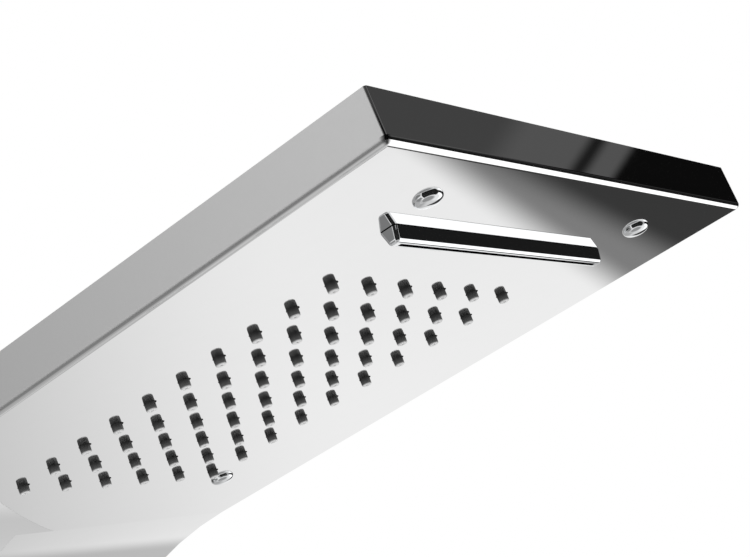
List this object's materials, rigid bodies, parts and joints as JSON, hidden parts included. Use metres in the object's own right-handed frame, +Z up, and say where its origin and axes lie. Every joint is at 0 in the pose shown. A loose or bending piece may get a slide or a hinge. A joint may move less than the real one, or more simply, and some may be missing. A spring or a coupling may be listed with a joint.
{
  "type": "shower panel column",
  "caption": "Wall-hung steel shower panel column with an overhead rain and waterfall head, tilting body jets, lever mixer, diverter and hand-shower outlet.",
  "frame": {"origin": "on the wall, midway between the two screws of the upper wall bracket", "axes": "+Y points into the wall, +Z is up, +X is to the right of someone facing the panel"},
  "size_m": [0.2044, 0.45, 1.5014],
  "materials": {
    "polished_steel": "mirror-polished stainless steel, finely grained on the folded flanges",
    "satin_steel": "satin stainless steel",
    "fastener_steel": "bright fastener steel",
    "chrome": "polished chrome plate",
    "silicone": "dark silicone with paler worn tips",
    "seal_rubber": "black rubber",
    "hose_rubber": "black hose rubber",
    "moulded_plastic": "moulded white plastic",
    "brass": "machined brass",
    "ceramic_disc": "lapped ceramic",
    "plug_plastic": "glossy moulded plastic"
  },
  "bodies": {
    "panel": {"bracket_lock_screws": "fastener_steel", "cartridge_nut": "brass", "cover_screws": "fastener_steel", "diverter_body": "brass", "diverter_cartridge": "moulded_plastic", "diverter_clamp_nut": "brass", "diverter_escutcheon": "chrome", "diverter_gland_nut": "brass", "hand_shower_feed_hose": "hose_rubber", "hand_shower_outlet": "chrome", "head_screw_nuts": "fastener_steel", "head_screws": "chrome", "head_top_cover": "satin_steel", "holder_base": "chrome", "holder_pin": "fastener_steel", "holder_screw": "fastener_steel", "hose_clamps": "fastener_steel", "jet_1_frame": "chrome", "jet_1_housing": "moulded_plastic", "jet_2_frame": "chrome", "jet_2_housing": "moulded_plastic", "jet_3_frame": "chrome", "jet_3_housing": "moulded_plastic", "jet_feed_hose": "hose_rubber", "jet_gaskets": "seal_rubber", "jet_link_hoses": "hose_rubber", "jet_screws": "fastener_steel", "lower_wall_bracket": "satin_steel", "mixer_body": "brass", "mixer_cartridge": "moulded_plastic", "mixer_clamp_nut": "brass", "mixer_dome": "chrome", "mixer_escutcheon": "chrome", "nozzle_mat": "silicone", "outlet_nut": "brass", "panel_shell": "polished_steel", "rain_feed_hose": "hose_rubber", "spout_screws": "fastener_steel", "supply_pipe": "brass", "upper_hanger_bar": "satin_steel", "upper_wall_bracket": "satin_steel", "water_box": "moulded_plastic", "waterfall_feed_hose": "hose_rubber", "waterfall_gasket": "seal_rubber", "waterfall_inlet_elbow": "brass", "waterfall_spout": "chrome"},
    "mixer_turret": {"mixer_turret": "moulded_plastic", "stem_pin": "fastener_steel"},
    "mixer_handle": {"mixer_stem": "brass", "mixer_handle": "chrome", "handle_set_screw": "fastener_steel", "handle_plug": "plug_plastic"},
    "diverter_knob": {"diverter_spindle": "brass", "diverter_disc": "ceramic_disc", "diverter_knob": "chrome", "knob_set_screw": "fastener_steel"},
    "jet_1": {"jet_1_roller": "chrome"},
    "jet_2": {"jet_2_roller": "chrome"},
    "jet_3": {"jet_3_roller": "chrome"},
    "holder_cradle": {"holder_cradle": "chrome"}
  },
  "joints": [
    {"name": "mixer_temperature", "type": "hinge", "parent": "panel", "child": "mixer_turret", "pos_m": [0, -0.069, -0.784], "axis": [0, 1, 0], "range_deg": [-45, 45]},
    {"name": "mixer_flow", "type": "hinge", "parent": "mixer_turret", "child": "mixer_handle", "pos_m": [0, -0.069, -0.784], "axis": [-1, 0, 0], "range_deg": [0, 22]},
    {"name": "diverter_turn", "type": "hinge", "parent": "panel", "child": "diverter_knob", "pos_m": [0, -0.0725, -0.65], "axis": [0, 1, 0], "range_deg": [0, 270]},
    {"name": "jet_1_tilt", "type": "hinge", "parent": "panel", "child": "jet_1", "pos_m": [0, -0.0535, -0.19], "axis": [1, 0, 0], "range_deg": [-20, 20]},
    {"name": "jet_2_tilt", "type": "hinge", "parent": "panel", "child": "jet_2", "pos_m": [0, -0.0535, -0.33], "axis": [1, 0, 0], "range_deg": [-20, 20]},
    {"name": "jet_3_tilt", "type": "hinge", "parent": "panel", "child": "jet_3", "pos_m": [0, -0.0535, -0.47], "axis": [1, 0, 0], "range_deg": [-20, 20]},
    {"name": "holder_tilt", "type": "hinge", "parent": "panel", "child": "holder_cradle", "pos_m": [0.066, -0.078, -0.56], "axis": [1, 0, 0], "range_deg": [-30, 30]}
  ]
}
